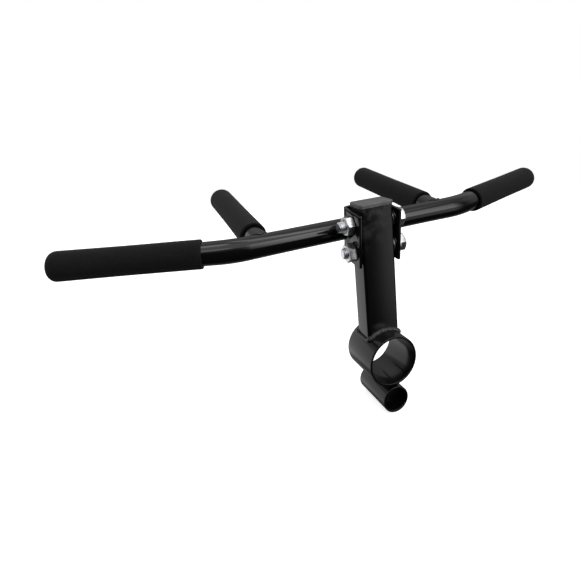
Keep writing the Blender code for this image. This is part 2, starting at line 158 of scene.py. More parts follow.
def buildGlossPaint(bench):
    facts = glossPaint
    cloud = bench.grain(0.02, 3.0)
    speck = bench.smooth(bench.grain(facts["speckSize"], 4.0), 0.66, 0.74)
    dust = bench.smooth(bench.grain(0.006, 5.0), 0.55, 0.8)
    peel = bench.grain(facts["orangePeelSize"], 1.0)
    return {
        "Base Color": bench.mixColour(dust, grey(facts["colour"]), grey(facts["dustColour"])),
        "Roughness": facts["roughness"] + cloud * facts["roughnessSwing"] + speck * 0.12,
        "IOR": 1.5,
        "Normal": bench.bump(peel + speck * 0.3, facts["orangePeelDepth"]),
    }


satinPaint = {
    "colour": 0.0025,
    "dustColour": 0.006,
    "rubbedColour": 0.034,
    "rubbedFrom": 0.120,                # heights between which the rubbed look sets in
    "rubbedTo": 0.168,
    "roughness": 0.14,
    "roughnessSwing": 0.08,
    "peelSize": 0.0013,
    "peelDepth": 0.000014,
}


def buildSatinPaint(bench):
    facts = satinPaint
    cloud = bench.grain(0.015, 4.0)
    dust = bench.smooth(bench.grain(0.004, 6.0), 0.52, 0.78)
    peel = bench.grain(facts["peelSize"], 2.0)
    speck = bench.smooth(bench.grain(0.0007, 3.0), 0.64, 0.72)
    split = bench.add("ShaderNodeSeparateXYZ", {}, {0: bench.place()})
    height = Wire(bench, split.socket.node.outputs[2])
    patches = bench.smooth(bench.grain(0.011, 5.0), 0.36, 0.70)
    rubbed = bench.smooth(height, facts["rubbedFrom"], facts["rubbedTo"]) * patches
    paint = bench.mixColour(dust, grey(facts["colour"]), grey(facts["dustColour"]))
    return {
        "Base Color": bench.mixColour(rubbed, paint, grey(facts["rubbedColour"])),
        "Roughness": facts["roughness"] + cloud * facts["roughnessSwing"] + rubbed * 0.12,
        "IOR": 1.5,
        "Normal": bench.bump(peel + speck * 0.4, facts["peelDepth"]),
    }


weldPaint = {
    "colour": 0.010,
    "lumpHighlightColour": 0.045,
    "roughness": 0.22,
    "rippleDepth": 0.00006,
}


def buildWeldPaint(bench):
    facts = weldPaint
    lumps = bench.grain(0.0012, 4.0)
    # The raised lumps of the bump take a paler colour: a painted highlight on the bead's ripples.
    lumpHighlight = bench.smooth(lumps, 0.45, 0.7)
    return {
        "Base Color": bench.mixColour(lumpHighlight, grey(facts["colour"]), grey(facts["lumpHighlightColour"])),
        "Roughness": facts["roughness"] + lumpHighlight * 0.15,
        "Normal": bench.bump(lumps, facts["rippleDepth"]),
    }


zincPlate = {
    "colour": (0.86, 0.87, 0.89, 1.0),
    "shadeColour": (0.68, 0.68, 0.69, 1.0),
    "roughness": 0.22,
    "scratchDepth": 0.000008,
}


def buildZincPlate(bench):
    facts = zincPlate
    cloud = bench.smooth(bench.grain(0.004, 4.0), 0.35, 0.7)
    stretched = bench.add(
        "ShaderNodeVectorMath", {"operation": "MULTIPLY"}, {0: bench.place(), 1: (0.12, 1.0, 1.0)}
    )
    scratches = bench.grain(0.0003, 3.0, stretched)
    return {
        "Base Color": bench.mixColour(cloud, facts["colour"], facts["shadeColour"]),
        "Metallic": 1.0,
        "Roughness": facts["roughness"] + cloud * 0.10 + scratches * 0.08,
        "Normal": bench.bump(scratches + cloud * 0.5, facts["scratchDepth"]),
    }


foamSkin = {
    "poreShadeColour": 0.003,
    "colour": 0.0095,
    "cellSize": 0.0010,
    "cellDepth": 0.00016,
    "roughness": 0.86,
}


def buildFoamSkin(bench):
    facts = foamSkin
    cells = bench.cells(facts["cellSize"])
    fine = bench.grain(0.0005, 3.0)
    broad = bench.grain(0.012, 3.0)
    height = cells * 0.6 + fine * 0.5
    # Low places of the bump take a darker colour: painted shade in the pores.
    poreShadeMask = bench.smooth(height, 0.28, 0.62)
    shade = bench.mixColour(poreShadeMask, grey(facts["poreShadeColour"]), grey(facts["colour"], 0.01))
    worn = bench.smooth(broad, 0.45, 0.8) * 0.35
    return {
        "Base Color": bench.mixColour(worn, shade, grey(facts["colour"] * 1.25)),
        "Roughness": facts["roughness"] + fine * 0.12,
        "Specular IOR Level": 0.15,
        "Sheen Weight": 0.065,
        "Sheen Roughness": 0.5,
        "Normal": bench.bump(height, facts["cellDepth"], 0.8),
    }


mouldedPlastic = {
    "colour": 0.100,
    "paleColour": 0.135,
    "roughness": 0.42,
    "grainSize": 0.0005,
    "grainDepth": 0.00003,
}


def buildMouldedPlastic(bench):
    facts = mouldedPlastic
    texture = bench.grain(facts["grainSize"], 3.0)
    cloud = bench.smooth(bench.grain(0.01, 3.0), 0.35, 0.7)
    return {
        "Base Color": bench.mixColour(cloud, grey(facts["colour"]), grey(facts["paleColour"])),
        "Roughness": facts["roughness"] + cloud * 0.08 + texture * 0.06,
        "Normal": bench.bump(texture, facts["grainDepth"]),
    }


finishes = {
    "gloss_black_paint": makeFinish("gloss black paint", buildGlossPaint),
    "satin_black_paint": makeFinish("satin black paint", buildSatinPaint),
    "zinc_hardware": makeFinish("bright zinc plate", buildZincPlate),
    "black_foam": makeFinish("black foam", buildFoamSkin),
    "black_plastic": makeFinish("black moulded plastic", buildMouldedPlastic),
}
weldFinish = makeFinish("painted weld", buildWeldPaint)
print("finishes made")


def circle(radius, sides, height=0.0, wide=1.0, tall=1.0):
    points = []
    for k in range(sides):
        angle = 2 * math.pi * k / sides
        across = radius * wide * math.cos(angle)
        points.append(Vector((across, radius * tall * math.sin(angle), height)))
    return points


def skin(name, rings, loop=False, matrix=None):
    # Joins rings of points into a closed surface, capped or with its last ring joined to its first.
    sides = len(rings[0])
    verts = [tuple(point) for ring in rings for point in ring]
    faces = []
    spans = len(rings) if loop else len(rings) - 1
    for k in range(spans):
        first = k * sides
        second = (k + 1) % len(rings) * sides
        for j in range(sides):
            after = (j + 1) % sides
            faces.append((first + j, first + after, second + after, second + j))
    if not loop:
        faces.append(tuple(range(sides)))
        faces.append(tuple(range(len(verts) - sides, len(verts))))
    mesh = bpy.data.meshes.new(name)
    mesh.from_pydata(verts, [], faces)
    if matrix:
        mesh.transform(matrix)
    cleanMesh(mesh)
    return mesh


def cleanMesh(mesh):
    shape = bmesh.new()
    shape.from_mesh(mesh)
    bmesh.ops.remove_doubles(shape, verts=shape.verts, dist=0.000004)
    bmesh.ops.dissolve_degenerate(shape, edges=shape.edges, dist=0.000004)
    bmesh.ops.recalc_face_normals(shape, faces=shape.faces)
    shape.to_mesh(mesh)
    shape.free()
    mesh.shade_smooth()
    mesh.set_sharp_from_angle(angle=math.radians(32))


def turned(name, profile, sides=72, loop=False, matrix=None):
    rings = [circle(max(radius, 0.0000001), sides, height) for radius, height in profile]
    return skin(name, rings, loop, matrix)


def arc(centre, radius, start, stop, steps):
    # Points (across, along) of an arc, for the rounded edge of a turned piece.
    points = []
    for k in range(steps + 1):
        angle = math.radians(start + (stop - start) * k / steps)
        points.append((centre[0] + radius * math.cos(angle), centre[1] + radius * math.sin(angle)))
    return points


def addPiece(name, mesh, body, slotName, stands=(), finish=None):
    piece = bpy.data.objects.new(name, mesh)
    bpy.context.scene.collection.objects.link(piece)
    mesh.materials.clear()
    mesh.materials.append(finish or finishes[slotName])
    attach(piece, body)
    if stands:
        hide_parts(*stands)
    return piece


def shapeWith(mesh, tools, operation="DIFFERENCE", edge=0.0):
    # Cuts or trims a mesh with other meshes, then rounds its sharp edges.
    scene = bpy.context.scene
    part = bpy.data.objects.new("shaping", mesh)
    scene.collection.objects.link(part)
    helpers = []
    for tool in tools:
        helper = bpy.data.objects.new("tool", tool)
        scene.collection.objects.link(helper)
        helpers.append(helper)
        cut = part.modifiers.new("cut", "BOOLEAN")
        cut.operation = operation
        cut.object = helper
        cut.solver = "EXACT"
    if edge:
        rounding = part.modifiers.new("edge", "BEVEL")
        rounding.width = edge
        rounding.segments = 3
        rounding.limit_method = "ANGLE"
        rounding.angle_limit = math.radians(40)
    bpy.context.view_layer.update()
    shaped = part.evaluated_get(bpy.context.evaluated_depsgraph_get())
    result = bpy.data.meshes.new_from_object(shaped)
    for helper in [part, *helpers]:
        bpy.data.objects.remove(helper, do_unlink=True)
    cleanMesh(result)
    return result


def roundedRectangle(width, depth, radius, steps=10):
    points = []
    corners = ((1, -1, -90), (1, 1, 0), (-1, 1, 90), (-1, -1, 180))
    for sideX, sideY, start in corners:
        for k in range(steps + 1):
            angle = math.radians(start + 90 * k / steps)
            x = sideX * (width / 2 - radius) + radius * math.cos(angle)
            y = sideY * (depth / 2 - radius) + radius * math.sin(angle)
            points.append(Vector((x, y)))
    return points


def standAlong(start, direction, roll=0.0):
    turn = Vector(direction).to_track_quat("Z", "Y").to_matrix().to_4x4()
    return Matrix.Translation(start) @ turn @ Matrix.Rotation(roll, 4, "Z")


pivot = Vector(frame["joints"][0]["pos_m"])
lean = math.radians(6.4)                # the yoke's lean on the post
tilted = Matrix.Translation(pivot) @ Matrix.Rotation(lean, 4, "X")

bar = {
    "radius": 0.0127,
    "wall": 0.002,
    "y": 0.0372,                        # from the pivot, in the yoke's leaning directions
    "z": -0.0184,
    "bendX": 0.1495,
    "bendAngle": math.radians(17.2),
    "bendRadius": 0.120,
    "oval": 0.05,
    "ovalReach": 0.035,
    "tubeEnd": 0.1801,                  # outwards from where the straight parts cross
    "handleX": 0.1168,
    "handleEnd": 0.1905,
    "sides": 96,
}


def barStations():
    # Half of the bar's centre line: (x, y, direction angle), dense where it bends.
    reach = bar["bendRadius"] * math.tan(bar["bendAngle"] / 2)
    start = bar["bendX"] - reach
    stations = [(start * k / 12, 0.0, 0.0) for k in range(12)]
    for k in range(25):
        angle = bar["bendAngle"] * k / 24
        x = start + bar["bendRadius"] * math.sin(angle)
        stations.append((x, bar["bendRadius"] * (1 - math.cos(angle)), angle))
    cosine = math.cos(bar["bendAngle"])
    sine = math.sin(bar["bendAngle"])
    for k in range(1, 13):
        run = reach + (bar["tubeEnd"] - reach) * k / 12
        stations.append((bar["bendX"] + run * cosine, run * sine, bar["bendAngle"]))
    return stations


def barRing(station, radius):
    x, y, angle = station
    away = (abs(x) - bar["bendX"]) / bar["ovalReach"]
    tall = 1.0 + bar["oval"] * math.exp(-away * away)
    ring = []
    for point in circle(radius, bar["sides"], 0.0, 1.0, tall):
        # The ring stands across the bar: its first direction is level, its second is up.
        ring.append(Vector((x - point.x * math.sin(angle), y + point.x * math.cos(angle), point.y)))
    return ring


def buildBar():
    half = barStations()
    mirrored = [(-x, y, -angle) for x, y, angle in reversed(half[1:])]
    stations = mirrored + half
    outer = [barRing(station, bar["radius"]) for station in stations]
    inner = [barRing(station, bar["radius"] - bar["wall"]) for station in reversed(stations)]
    place = tilted @ Matrix.Translation((0, bar["y"], bar["z"]))
    mesh = skin("bent_bar", outer + inner, loop=True, matrix=place)
    addPiece("bent_bar", mesh, handleBody, "gloss_black_paint", ["handlebar"])


def buildRearTubes():
    for label, side in (("left", -1), ("right", 1)):
        rings = []
        radii = ((bar["radius"], False), (bar["radius"] - bar["wall"], True))
        for radius, backwards in radii:
            # The front end is cut to the bar's own round shape.
            front = circle(radius, bar["sides"])
            saddle = []
            for point in front:
                rise = math.sqrt(max((bar["radius"] + 0.0001) ** 2 - point.y**2, 0.0))
                saddle.append(Vector((point.x, rise, point.y)))
            run = [saddle]
            for k in range(1, 9):
                y = 0.016 + (bar["handleEnd"] - 0.016) * k / 8
                run.append([Vector((point.x, y, point.y)) for point in front])
            rings += list(reversed(run)) if backwards else run
        place = tilted @ Matrix.Translation((side * bar["handleX"], bar["y"], bar["z"]))
        name = "rear_tube_" + label
        mesh = skin(name, rings, loop=True, matrix=place)
        addPiece(name, mesh, handleBody, "gloss_black_paint", ["rear_handle_" + label])


buildBar()
buildRearTubes()
print("bar and rear tubes made")

grip = {
    "radius": 0.016,
    "bore": 0.0133,
    "endWall": 0.004,
    "endRound": 0.009,
    "lip": 0.0011,
    "endStart": 0.0313,
    "endStop": 0.1867,
    "rearStart": 0.0310,
    "rearStop": 0.1971,
    "waver": 0.00013,                   # how far the foam's skin wanders from round
    "squeeze": 0.00025,                 # how much slimmer the middle is than the ends
    "sides": 80,
}


def gripProfile(length):
    radius = grip["radius"]
    rounding = grip["endRound"]
    profile = [(0.0, length)]
    profile += [(x, y) for x, y in arc((radius - rounding, length - rounding), rounding, 88, 2, 12)]
    runs = int(length / 0.0018)
    low = grip["lip"]
    high = length - rounding
    profile += [(radius, high + (low - high) * k / runs) for k in range(runs + 1)]
    lipCentre = (radius - grip["lip"], grip["lip"])
    profile += arc(lipCentre, grip["lip"], -10, -90, 5)
    profile += arc((grip["bore"] + 0.0004, 0.0004), 0.0004, -90, -180, 3)
    profile += [(grip["bore"], length - grip["endWall"]), (0.0, length - grip["endWall"])]
    return profile


def foamMesh(name, length, place, seed):
    rings = []
    for radius, height in gripProfile(length):
        ring = circle(max(radius, 0.0000001), grip["sides"], height)
        outside = radius > grip["radius"] - 0.0005
        for point in ring if outside else []:
            spot = Vector((point.x * 60, point.y * 60, height * 45 + seed))
            fine = Vector((point.x * 420, point.y * 420, height * 420 + seed))
            inward = grip["waver"] * (0.5 + 0.35 * noise.noise(spot) + 0.25 * noise.noise(fine))
            inward += grip["squeeze"] * math.sin(math.pi * height / length) ** 2
            scale = (radius - inward) / radius
            point.x *= scale
            point.y *= scale
        rings.append(ring)
    return skin(name, rings, matrix=place)


def buildGrips():
    cosine = math.cos(bar["bendAngle"])
    sine = math.sin(bar["bendAngle"])
    leaning = tilted.to_3x3()
    for label, side in (("left", -1), ("right", 1)):
        runs = (
            ("end", (side * cosine, sine, 0), bar["bendX"], grip["endStart"], grip["endStop"]),
            ("rear", (0, 1, 0), bar["handleX"], grip["rearStart"], grip["rearStop"]),
        )
        for kind, heading, across, start, stop in runs:
            direction = Vector(heading)
            base = Vector((side * across, bar["y"], bar["z"])) + direction * start
            place = standAlong(tilted @ base, leaning @ direction)
            name = f"{kind}_foam_{label}"
            seed = 10.0 * side + (3.0 if kind == "rear" else 0.0)
            mesh = foamMesh(name, stop - start, place, seed)
            foam = addPiece(name, mesh, handleBody, "black_foam", [f"{kind}_grip_{label}"])


buildGrips()
print("foam grips made")

yoke = {
    "width": 0.052,
    "plate": 0.0035,
    "front": -0.0168,
    "rear": 0.0242,
    "top": 0.0145,
    "bottom": -0.0448,
    "bendRadius": 0.008,
    "holeRadius": 0.0064,
    "boltSpacing": 0.030,
    "slotHalfAngle": math.radians(6.4),
    "edge": 0.0005,
}


def yokeOutline():
    half = yoke["width"] / 2
    inner = yoke["bendRadius"] - yoke["plate"]
    centre = Vector((half - yoke["bendRadius"], yoke["rear"] - yoke["bendRadius"]))
    outside = [Vector((half, yoke["front"]))]
    inside = [Vector((half - yoke["plate"], yoke["front"]))]
    for k in range(13):
        angle = math.radians(90 * k / 12)
        turn = Vector((math.cos(angle), math.sin(angle)))
        outside.append(centre + yoke["bendRadius"] * turn)
        inside.append(centre + inner * turn)
    left = [Vector((-point.x, point.y)) for point in reversed(outside)]
    innerLeft = [Vector((-point.x, point.y)) for point in inside]
    return outside + left + innerLeft + list(reversed(inside))


def slotOutline():
    # The lock bolt's curved slot, drawn in (y, z) round the pivot.
    points = []
    swing = yoke["slotHalfAngle"]
    for side in (1, -1):
        radius = yoke["boltSpacing"] + side * yoke["holeRadius"]
        for k in range(9):
            angle = side * swing * (k / 4 - 1)
            points.append(Vector((radius * math.sin(angle), -radius * math.cos(angle))))
        end = yoke["boltSpacing"] * Vector((side * math.sin(swing), -math.cos(swing)))
        first = math.atan2(-math.cos(swing) * side, math.sin(swing))
        for k in range(1, 14):
            angle = first + math.pi * k / 14
            points.append(end + yoke["holeRadius"] * Vector((math.cos(angle), math.sin(angle))))
    return points


def prism(name, outline, low, high, matrix=None):
    rings = [[Vector((point.x, point.y, height)) for point in outline] for height in (low, high)]
    return skin(name, rings, matrix=matrix)


def buildYoke():
    plate = prism("yoke", yokeOutline(), yoke["bottom"], yoke["top"])
    hole = turned("hole", [(yoke["holeRadius"], -0.04), (yoke["holeRadius"], 0.04)], 64)
    hole.transform(Matrix.Rotation(math.radians(90), 4, "Y"))
    slot = prism("slot", slotOutline(), -0.04, 0.04)
    slot.transform(Matrix(((0, 0, 1, 0), (1, 0, 0, 0), (0, 1, 0, 0), (0, 0, 0, 1))))
    mesh = shapeWith(plate, [hole, slot], edge=yoke["edge"])
    mesh.transform(tilted)
    addPiece("yoke_plate", mesh, handleBody, "gloss_black_paint", ["yoke_bracket"])


buildYoke()
print("yoke made")

sleeves = {
    "large_sleeve": {"radius": 0.030, "wall": 0.0025, "front": -0.031, "rear": 0.0215, "z": 0.0},
    "small_sleeve": {
        "radius": 0.016, "wall": 0.0025, "front": -0.032, "rear": 0.0235, "z": -0.0482,
    },
}
sleeveRim = {"edge": 0.0004, "sides": 128}


def buildSleeves():
    for node, facts in sleeves.items():
        outer = facts["radius"]
        inner = outer - facts["wall"]
        length = facts["rear"] - facts["front"]
        edge = sleeveRim["edge"]
        profile = []
        profile += arc((outer - edge, edge), edge, -90, 0, 4)
        profile += arc((outer - edge, length - edge), edge, 0, 90, 4)
        profile += arc((inner + edge, length - edge), edge, 90, 180, 4)
        profile += arc((inner + edge, edge), edge, 180, 270, 4)
        place = standAlong(Vector((0, facts["front"], facts["z"])), (0, 1, 0))
        name = node.replace("sleeve", "tube")
        mesh = turned(name, profile, sleeveRim["sides"], loop=True, matrix=place)
        addPiece(name, mesh, postBody, "satin_black_paint", [node])


post = {"width": 0.040, "depth": 0.025, "wall": 0.002, "corner": 0.003, "top": 0.175, "gap": 0.0003}


def buildPost():
    saddleRadius = sleeves["large_sleeve"]["radius"] + post["gap"]
    rings = []
    outer = roundedRectangle(post["width"], post["depth"], post["corner"], 8)
    inset = 2 * post["wall"]
    inner = roundedRectangle(
        post["width"] - inset, post["depth"] - inset, post["corner"] - post["wall"], 8
    )
    for outline, backwards in ((outer, False), (inner, True)):
        saddle = []
        for point in outline:
            saddle.append(Vector((point.x, point.y, math.sqrt(saddleRadius**2 - point.x**2))))
        run = [saddle]
        for k in range(1, 7):
            height = saddleRadius + (post["top"] - saddleRadius) * k / 6
            run.append([Vector((point.x, point.y, height)) for point in outline])
        rings += list(reversed(run)) if backwards else run
    mesh = skin("post_tube", rings, loop=True)
    addPiece("post_tube", mesh, postBody, "satin_black_paint", ["post"])


cap = {"thickness": 0.005, "overhang": 0.0006, "edge": 0.0014, "spigot": 0.010}


def buildCap():
    width = post["width"] + 2 * cap["overhang"]
    depth = post["depth"] + 2 * cap["overhang"]
    corner = post["corner"] + cap["overhang"]
    low = post["top"] + post["gap"]
    high = post["top"] + cap["thickness"]
    edge = cap["edge"]
    spigotWidth = post["width"] - 2 * post["wall"] - 2 * post["gap"]
    spigotDepth = post["depth"] - 2 * post["wall"] - 2 * post["gap"]
    spigotCorner = post["corner"] - post["wall"]
    levels = [(spigotWidth, spigotDepth, spigotCorner, post["top"] - cap["spigot"])]
    levels.append((spigotWidth, spigotDepth, spigotCorner, low))
    levels.append((width - 0.0006, depth - 0.0006, corner - 0.0003, low))
    levels.append((width, depth, corner, low + 0.0003))
    for k in range(9):
        angle = math.radians(90 * k / 8)
        inset = edge * (1 - math.cos(angle))
        height = high - edge + edge * math.sin(angle)
        levels.append((width - 2 * inset, depth - 2 * inset, corner - inset, height))
    rings = []
    for wide, deep, radius, height in levels:
        outline = roundedRectangle(wide, deep, radius, 8)
        rings.append([Vector((point.x, point.y, height)) for point in outline])
    mesh = skin("post_lid", rings)
    addPiece("post_lid", mesh, postBody, "black_plastic", ["post_cap"])


buildSleeves()
buildPost()
buildCap()
print("sleeves, post and cap made")

weld = {
    "rippleLength": 0.0021,
    "rippleDepth": 0.10,
    "wander": 0.10,
    "sides": 14,
    "step": 0.00045,
    "footRadius": 0.0036,
    "footLift": 0.0006,
    "sleeveRadius": 0.0022,
    "sleeveLift": 0.0018,
    "handleRadius": 0.0014,
    "handleLift": 0.0004,
    "yokeRadius": 0.0023,
    "yokeLift": 0.0012,
    "yokeSpread": 0.0072,
}


def beadMesh(name, route, radius, loop=False, sizeAt=None):
    # A rippled bead that follows a route of points, thicker or thinner where sizeAt says.
    points = evenPoints(route, weld["step"], loop)
    rings = []
    count = len(points)
    for k, point in enumerate(points):
        before = points[k - 1] if loop or k > 0 else point
        after = points[(k + 1) % count] if loop or k < count - 1 else point
        run = (after - before).normalized()
        side = run.cross(Vector((0.31, 0.17, 0.93))).normalized()
        up = side.cross(run)
        travelled = k * weld["step"]
        ripple = abs(math.sin(math.pi * travelled / weld["rippleLength"]))
        wander = noise.noise(point * 260)
        size = radius * (1 - weld["rippleDepth"] * (1 - ripple) + weld["wander"] * wander)
        if sizeAt:
            size *= sizeAt(point)
        if not loop:
            # The two ends taper off in a dome.
            fromEnd = min(travelled, (count - 1) * weld["step"] - travelled)
            part = min(fromEnd / (radius * 1.1), 1.0)
            size *= max(math.sqrt(part * (2 - part)), 0.02)
        ring = []
        for j in range(weld["sides"]):
            angle = 2 * math.pi * j / weld["sides"]
            ring.append(point + size * (side * math.cos(angle) + up * math.sin(angle)))
        rings.append(ring)
    return skin(name, rings, loop)


def evenPoints(route, step, loop):
    points = list(route) + ([route[0]] if loop else [])
    lengths = [0.0]
    for first, second in zip(points, points[1:]):
        lengths.append(lengths[-1] + (second - first).length)
    count = max(int(lengths[-1] / step), 4)
    spaced = []
    at = 0
    for k in range(count if loop else count + 1):
        target = lengths[-1] * k / count
        while at < len(lengths) - 2 and lengths[at + 1] < target:
            at += 1
        span = max(lengths[at + 1] - lengths[at], 1e-9)
        spaced.append(points[at].lerp(points[at + 1], (target - lengths[at]) / span))
    return spaced


def buildFootWeld():
    reach = sleeves["large_sleeve"]["radius"]
    route = []
    for point in roundedRectangle(post["width"] + 0.0012, post["depth"] + 0.0012, 0.0035, 6):
        height = math.sqrt(reach**2 - point.x**2) + weld["footLift"]
        route.append(Vector((point.x, point.y, height)))
    # The long front and back runs need points between the corners to follow the sleeve.
    filled = []
    for first, second in zip(route, route[1:] + route[:1]):
        for k in range(12):
            point = first.lerp(second, k / 12)
            point.z = math.sqrt(reach**2 - point.x**2) + weld["footLift"]
            filled.append(point)

    def thinAtSides(point):
        # The front and back runs are laid heavily, the two side runs lightly.
        inside = 1 - min(max((abs(point.y) - 0.010) / 0.003, 0.0), 1.0)
        return 1.0 - 0.42 * inside

    mesh = beadMesh("foot_weld", filled, weld["footRadius"], loop=True, sizeAt=thinAtSides)
    addPiece("foot_weld", mesh, postBody, "satin_black_paint", finish=weldFinish)


def buildSleeveWelds():
    large = sleeves["large_sleeve"]["radius"] + weld["sleeveLift"]
    small = sleeves["small_sleeve"]["radius"] + weld["sleeveLift"]
    spacing = -sleeves["small_sleeve"]["z"]
    drop = (large**2 - small**2 + spacing**2) / (2 * spacing)
    aside = math.sqrt(large**2 - drop**2)
    for label, side in (("left", -1), ("right", 1)):
        low, high = boxOf("sleeve_weld_" + label)
        ends = (Vector((side * aside, low.y, -drop)), Vector((side * aside, high.y, -drop)))
        mesh = beadMesh("sleeve_bead_" + label, ends, weld["sleeveRadius"])
        addPiece("sleeve_bead_" + label, mesh, postBody, "satin_black_paint",
                 ["sleeve_weld_" + label], weldFinish)


def buildHandleWelds():
    for label, side in (("left", -1), ("right", 1)):
        route = []
        for k in range(120):
            angle = 2 * math.pi * k / 120
            x = side * bar["handleX"] + (bar["radius"] + weld["handleLift"]) * math.cos(angle)
            z = bar["z"] + (bar["radius"] + weld["handleLift"]) * math.sin(angle)
            y = bar["y"] + 0.0005 + bar["radius"] * max(abs(math.cos(angle)), 0.10)
            route.append(tilted @ Vector((x, y, z)))
        mesh = beadMesh("handle_weld_" + label, route, weld["handleRadius"], loop=True)
        addPiece("handle_weld_" + label, mesh, handleBody, "gloss_black_paint", finish=weldFinish)


def buildYokeWelds():
    reach = yoke["width"] / 2 - yoke["bendRadius"] + 0.004
    for label, side in (("upper", 1), ("lower", -1)):
        ends = []
        for x in (-reach, reach):
            height = bar["z"] + side * weld["yokeSpread"]
            ends.append(tilted @ Vector((x, yoke["rear"] + weld["yokeLift"], height)))
        mesh = beadMesh("yoke_weld_" + label, ends, weld["yokeRadius"])
        addPiece("yoke_weld_" + label, mesh, handleBody, "gloss_black_paint", finish=weldFinish)


buildFootWeld()
buildSleeveWelds()
buildHandleWelds()
buildYokeWelds()
print("welds made")

hardware = {
    "boltRadius": 0.006,
    "pitch": 0.00175,
    "threadDepth": 0.00115,
    "acrossFlats": 0.019,
    "faceRadius": 0.0091,
    "headHeight": 0.0075,
    "nutHeight": 0.0088,
    "washerEdge": 0.0003,
    "hexEdge": 0.00018,
    "threadStart": 0.044,
    "shankInHead": 0.003,
}
bolts = {
    "pivot": {"length": 0.0717, "headRoll": 35, "nutRoll": 23},
    "lock": {"length": 0.0686, "headRoll": 18, "nutRoll": -4},
}


def lieAlongX(start, roll):
    level = Matrix.Rotation(math.radians(90), 4, "Y")
    return Matrix.Translation(start) @ level @ Matrix.Rotation(math.radians(roll), 4, "Z")


def hexagonMesh(name, height, bothEnds):
    # A hexagon whose corners are turned down by a 30 degree cone.
    corner = hardware["acrossFlats"] / math.sqrt(3)
    face = hardware["faceRadius"]
    reach = corner + 0.001
    drop = (reach - face) * math.tan(math.radians(30))
    profile = [(0.0, height), (face, height), (reach, height - drop)]
    if bothEnds:
        profile += [(reach, drop), (face, 0.0), (0.0, 0.0)]
    else:
        profile += [(reach, 0.0), (0.0, 0.0)]
    outline = circle(corner, 6)
    solid = prism(name, outline, -0.001, height + 0.001)
    return shapeWith(solid, [turned("cone", profile, 96)], "INTERSECT", hardware["hexEdge"])


def threadRadius(angle, height, length):
    turn = (height / hardware["pitch"] - angle / (2 * math.pi)) % 1.0
    wave = abs(turn - 0.5) * 2
    depth = hardware["threadDepth"] * min(max((wave - 0.1) / 0.8, 0.0), 1.0)
    # The point is chamfered, and the thread dies away into the plain shank.
    chamfer = hardware["boltRadius"] - 0.0014 + (length - height)
    return min(hardware["boltRadius"] - 0.00005 - depth, chamfer)


def shankMesh(name, length, threadStart):
    sides = 48
    plain = hardware["boltRadius"] - 0.0001
    rings = [circle(plain, sides, height) for height in (0.0, threadStart)]
    steps = int((length - threadStart) / (hardware["pitch"] / 14))
    for k in range(1, steps + 1):
        height = threadStart + (length - threadStart) * k / steps
        ring = []
        for j in range(sides):
            angle = 2 * math.pi * j / sides
            radius = threadRadius(angle, height, length)
            ring.append(Vector((radius * math.cos(angle), radius * math.sin(angle), height)))
        rings.append(ring)
    return skin(name, rings)


def ringMesh(name, inner, outer, thickness, place):
    edge = hardware["washerEdge"]
    profile = arc((outer - edge, edge), edge, -90, 0, 3)
    profile += arc((outer - edge, thickness - edge), edge, 0, 90, 3)
    profile += [(inner, thickness), (inner, 0.0)]
    return turned(name, profile, 72, loop=True, matrix=place)


def buildHardware():
    for kind, facts in bolts.items():
        low, high = boxOf(kind + "_bolt")
        centre = (low + high) / 2
        headStart = high.x - hardware["headHeight"]

        head = hexagonMesh(kind + "_head", hardware["headHeight"], False)
        head.transform(lieAlongX(Vector((headStart, centre.y, centre.z)), facts["headRoll"]))
        addPiece(kind + "_head", head, postBody, "zinc_hardware", [kind + "_bolt"])

        inside = hardware["shankInHead"]
        shank = shankMesh(kind + "_shank", facts["length"] + inside, hardware["threadStart"])
        start = Vector((headStart + inside, centre.y, centre.z))
        shank.transform(standAlong(start, (-1, 0, 0)))
        addPiece(kind + "_shank", shank, postBody, "zinc_hardware")

        nutLow, nutHigh = boxOf(kind + "_nut")
        nut = hexagonMesh(kind + "_hex_nut", hardware["nutHeight"], True)
        mouth = hardware["boltRadius"] + 0.0007
        throat = hardware["boltRadius"] - 0.0004
        bore = [(mouth, hardware["nutHeight"] + 0.0001), (throat, hardware["nutHeight"] - 0.0009)]
        bore += [(throat, 0.0009), (mouth, -0.0001)]
        nut = shapeWith(nut, [turned("bore", bore, 72)])
        nut.transform(lieAlongX(Vector((nutLow.x, centre.y, centre.z)), facts["nutRoll"]))
        addPiece(kind + "_hex_nut", nut, postBody, "zinc_hardware", [kind + "_nut"])

        for node in ("_head_washer", "_spacer_left", "_spacer_right"):
            ringLow, ringHigh = boxOf(kind + node)
            place = lieAlongX(Vector((ringLow.x, centre.y, centre.z)), 0)
            name = kind + node + "_ring"
            inner = hardware["boltRadius"] + 0.0003
            outer = (ringHigh.z - ringLow.z) / 2
            mesh = ringMesh(name, inner, outer, ringHigh.x - ringLow.x, place)
            addPiece(name, mesh, postBody, "zinc_hardware", [kind + node])


buildHardware()
print("bolts, nuts and washers made")

for node, thing in frame["nodes"].items():
    if "plug" in node:
        for slotIndex in range(len(thing.material_slots)):
            thing.material_slots[slotIndex].material = finishes["black_plastic"]

